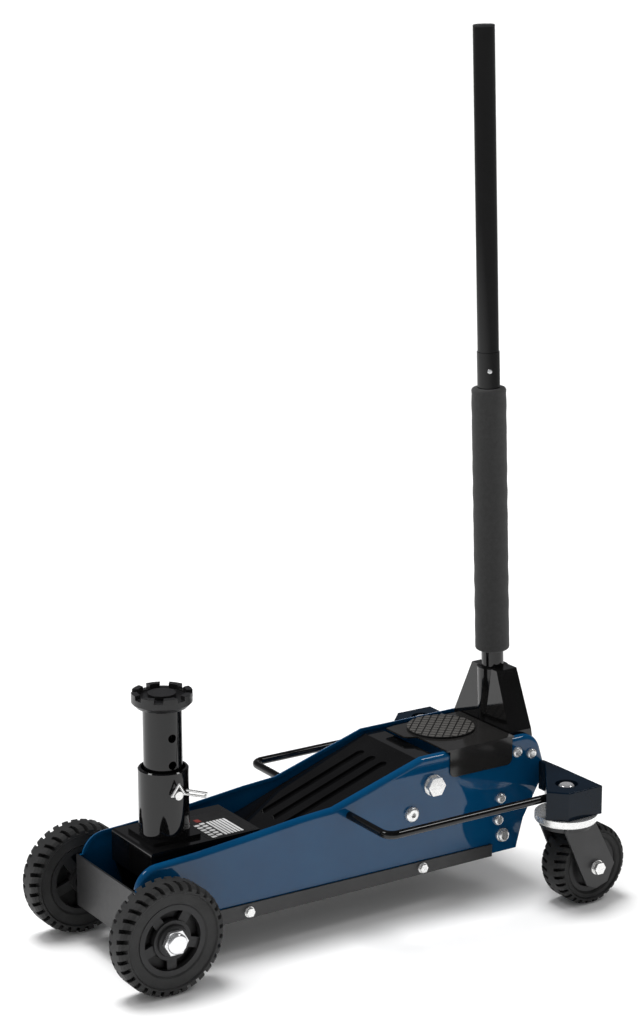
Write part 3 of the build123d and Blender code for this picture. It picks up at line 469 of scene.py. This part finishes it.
def add_coil(bm, low_x, high_x, centre, coil_r, wire_r):
    """One coil of round wire along X, capped at both ends; the centre is a Y and a Z."""
    turns = 14
    steps = 20
    wire_sides = 8
    along = Vector((1, 0, 0))
    rings = []
    for step in range(turns * steps + 1):
        turn = 2 * math.pi * step / steps
        x = low_x + wire_r + (high_x - low_x - 2 * wire_r) * step / (turns * steps)
        out = Vector((0, math.cos(turn), math.sin(turn)))
        middle = Vector((x, *centre)) + out * coil_r
        ring = []
        for index in range(wire_sides):
            angle = 2 * math.pi * index / wire_sides
            ring.append(middle + (out * math.cos(angle) + along * math.sin(angle)) * wire_r)
        rings.append(ring)
    made = skin_rings(bm, rings, closed=False)
    bm.faces.new(made[0])
    bm.faces.new(made[-1])


def make_springs(finish):
    """Two coil springs between the chassis bar and the ram's cross head."""
    low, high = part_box("return_springs")
    wire_r = 0.0011
    coil_r = (high[2] - low[2]) / 2 - wire_r
    centre_z = (low[2] + high[2]) / 2
    bm = bmesh.new()
    for centre_y in (low[1] + coil_r + wire_r, high[1] - coil_r - wire_r):
        add_coil(bm, low[0], high[0], (centre_y, centre_z), coil_r, wire_r)
    springs = new_piece("return_coils", bm, None, finish)
    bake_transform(springs)
    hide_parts("return_springs")


def add_panel(bm, x_range, y_range, z, thick, corner):
    """Thin sheet with clipped corners, lying flat."""
    x0, x1 = x_range
    y0, y1 = y_range
    outline = [(x0 + corner, y0), (x1 - corner, y0), (x1, y0 + corner), (x1, y1 - corner),
               (x1 - corner, y1), (x0 + corner, y1), (x0, y1 - corner), (x0, y0 + corner)]
    upper = [bm.verts.new((x, y, z + thick)) for x, y in outline]
    lower = [bm.verts.new((x, y, z)) for x, y in outline]
    bm.faces.new(upper)
    bm.faces.new(list(reversed(lower)))
    for index in range(len(outline)):
        after = (index + 1) % len(outline)
        bm.faces.new((lower[index], lower[after], upper[after], upper[index]))


def make_label(film, pale, accent):
    """Plain unprinted label behind the post: a dark film with pale bars, blocks and one accent."""
    film_thick = 0.0002
    panel_thick = 0.0001
    panel_corner = 0.0008
    print_start_y = -0.006
    blocks_inset = 0.052
    low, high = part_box("saddle_carrier")
    rear = low[0] + 0.004
    film_z = high[2]
    print_z = film_z + film_thick
    bm = bmesh.new()
    add_panel(bm, (rear, rear + 0.078), (-0.038, 0.055), film_z, film_thick, 0.003)
    new_piece("label_film", bm, "carrier", film)
    bm = bmesh.new()
    for bar in range(6):
        x = rear + 0.018 + bar * 0.0054
        add_panel(bm, (x, x + 0.0036), (print_start_y, 0.051), print_z, panel_thick, panel_corner)
    for row in range(2):
        x = rear + blocks_inset + row * 0.0105
        for column in range(6):
            y = print_start_y + column * 0.0098 + row * 0.0032
            add_panel(bm, (x, x + 0.0085), (y, y + 0.0062), print_z, panel_thick, panel_corner)
    new_piece("label_panels", bm, "carrier", pale)
    bm = bmesh.new()
    x = rear + blocks_inset
    add_panel(bm, (x, x + 0.0085), (-0.022, -0.011), print_z, panel_thick, 0.001)
    new_piece("label_accent", bm, "carrier", accent)


# ---- studio -------------------------------------------------------------------------------
FLOOR_HALF_SIZE = 30.0
# Reflections see a painted pool of light on the floor around this centre, fading out between the radii.
POOL_CENTRE = (0.4, -0.6, 0.0)
POOL_INNER_R = 1.2
POOL_OUTER_R = 4.6
FILL_STRENGTH = 0.46
# Reflections see the sky brighter toward this side; strengths opposite it and straight at it.
BRIGHT_SIDE = (0.84, -0.54, 0.0)
MIRROR_STRENGTHS = (0.35, 1.9)
# Heights of the view direction, from the horizon upward, and the sky's brightness in reflections.
MIRROR_SKY = ((0.0, 0.3), (0.25, 0.15), (0.5, 0.05))
SUN_STRENGTH = 2.45
SUN_ANGLE = math.radians(24)
SUN_DIRECTION = Vector((-0.08, 0.2, -1.0))
HIGHLIGHT_AT = (2.5, -1.5, 4.5)
EDGE_LIGHT_AT = (-3.2, 1.9, 4.4)


def make_floor():
    """Pale seamless floor; in reflections its colour darkens away from the jack, a painted pool of
    light like a lit table.
    """
    size = FLOOR_HALF_SIZE
    mesh = bpy.data.meshes.new("floor")
    corners = [(-size, -size, 0), (size, -size, 0), (size, size, 0), (-size, size, 0)]
    mesh.from_pydata(corners, [], [(0, 1, 2, 3)])
    floor = bpy.data.objects.new("floor", mesh)
    bpy.context.scene.collection.objects.link(floor)
    s = Shader("studio_floor", Specular_IOR_Level=0.0)
    direct = s.ramp(s.noise(3.0, 4.0), *shade((0.88, 0.88, 0.88), (0.9, 0.9, 0.9)))
    offset = s.add("ShaderNodeVectorMath", operation="DISTANCE")
    offset.inputs[1].default_value = POOL_CENTRE
    s.link(s.coordinates, offset.inputs[0])
    fade = s.spread(offset.outputs["Value"], 0.0, 1.0, POOL_INNER_R, POOL_OUTER_R)
    # Painted light: the floor's colour for reflections only, bright near the jack and dark farther out.
    reflected = s.ramp(fade, (0.0, (0.86, 0.86, 0.86)), (1.0, (0.2, 0.2, 0.2)))
    in_reflection = s.add("ShaderNodeLightPath").outputs["Is Glossy Ray"]
    s.colour(s.mix(in_reflection, direct, reflected))
    s.roughness(s.spread(s.noise(30.0), 0.8, 0.9))
    mesh.materials.append(s.material)


def make_mirror_sky(tree, direction):
    """What glossy surfaces see of the sky: dimmer with height, brighter toward one side."""
    height = tree.nodes.new("ShaderNodeSeparateXYZ")
    tree.links.new(direction, height.inputs["Vector"])
    rise = tree.nodes.new("ShaderNodeValToRGB")
    rise.color_ramp.elements.new(0.5)
    for element, (position, value) in zip(rise.color_ramp.elements, MIRROR_SKY):
        element.position = position
        element.color = (value, value, value * 1.05, 1.0)
    tree.links.new(height.outputs["Z"], rise.inputs["Fac"])
    across = tree.nodes.new("ShaderNodeVectorMath")
    across.operation = "DOT_PRODUCT"
    across.inputs[1].default_value = BRIGHT_SIDE
    tree.links.new(direction, across.inputs[0])
    spread = tree.nodes.new("ShaderNodeMapRange")
    spread.inputs["From Min"].default_value = -1.0
    spread.inputs["To Min"].default_value = MIRROR_STRENGTHS[0]
    spread.inputs["To Max"].default_value = MIRROR_STRENGTHS[1]
    tree.links.new(across.outputs["Value"], spread.inputs["Value"])
    mirror = make_background(tree, 1.0)
    tree.links.new(rise.outputs["Color"], mirror.inputs["Color"])
    tree.links.new(spread.outputs["Result"], mirror.inputs["Strength"])
    return mirror


def make_background(tree, strength):
    node = tree.nodes.new("ShaderNodeBackground")
    node.inputs["Strength"].default_value = strength
    node.inputs["Color"].default_value = (1.0, 1.0, 1.0, 1.0)
    return node


def choose(tree, factor, first, second):
    """First where the factor is 0, second where it is 1."""
    node = tree.nodes.new("ShaderNodeMixShader")
    tree.links.new(factor, node.inputs["Fac"])
    tree.links.new(first.outputs[0], node.inputs[1])
    tree.links.new(second.outputs[0], node.inputs[2])
    return node


def make_world():
    """White to the eye and for soft light; dim and graded where glossy surfaces reflect it."""
    world = bpy.data.worlds.new("studio")
    world.use_nodes = True
    tree = world.node_tree
    tree.nodes.clear()
    path = tree.nodes.new("ShaderNodeLightPath")
    direction = tree.nodes.new("ShaderNodeTexCoord").outputs["Generated"]
    seen = make_background(tree, 1.0)
    fill = make_background(tree, FILL_STRENGTH)
    mirror = make_mirror_sky(tree, direction)
    lit = choose(tree, path.outputs["Is Glossy Ray"], fill, mirror)
    sky = choose(tree, path.outputs["Is Camera Ray"], lit, seen)
    output = tree.nodes.new("ShaderNodeOutputWorld")
    tree.links.new(sky.outputs[0], output.inputs["Surface"])
    bpy.context.scene.world = world


def area_light(name, place, target, size, power):
    """A round lamp that faces its target; the size is its diameter."""
    data = bpy.data.lights.new(name, "AREA")
    data.shape = "DISK"
    data.size = size
    data.energy = power
    light = bpy.data.objects.new(name, data)
    bpy.context.scene.collection.objects.link(light)
    light.location = place
    light.rotation_mode = "QUATERNION"
    light.rotation_quaternion = (Vector(target) - Vector(place)).to_track_quat("-Z", "Y")


def make_studio():
    """Floor, sky, a soft steep sun, and two lamps whose reflections mark tops and near edges."""
    make_floor()
    make_world()
    sun = bpy.data.lights.new("sun", "SUN")
    sun.energy = SUN_STRENGTH
    sun.angle = SUN_ANGLE
    key = bpy.data.objects.new("key", sun)
    bpy.context.scene.collection.objects.link(key)
    key.rotation_mode = "QUATERNION"
    key.rotation_quaternion = SUN_DIRECTION.to_track_quat("-Z", "Y")
    key.visible_glossy = False
    area_light("highlight", HIGHLIGHT_AT, (0, 0, 0.3), size=1.6, power=45.0)
    area_light("edge_light", EDGE_LIGHT_AT, (0, 0, 0.2), size=1.2, power=30.0)
    bpy.context.scene.view_settings.view_transform = "Standard"


# ---- scene --------------------------------------------------------------------------------
make_camera()
make_studio()
FINISHES = make_finishes()
paint_nodes(FINISHES)
make_foam_grip(FINISHES["foam"])
make_springs(FINISHES["steel"])
make_label(FINISHES["film"], FINISHES["pale_film"], FINISHES["accent_film"])
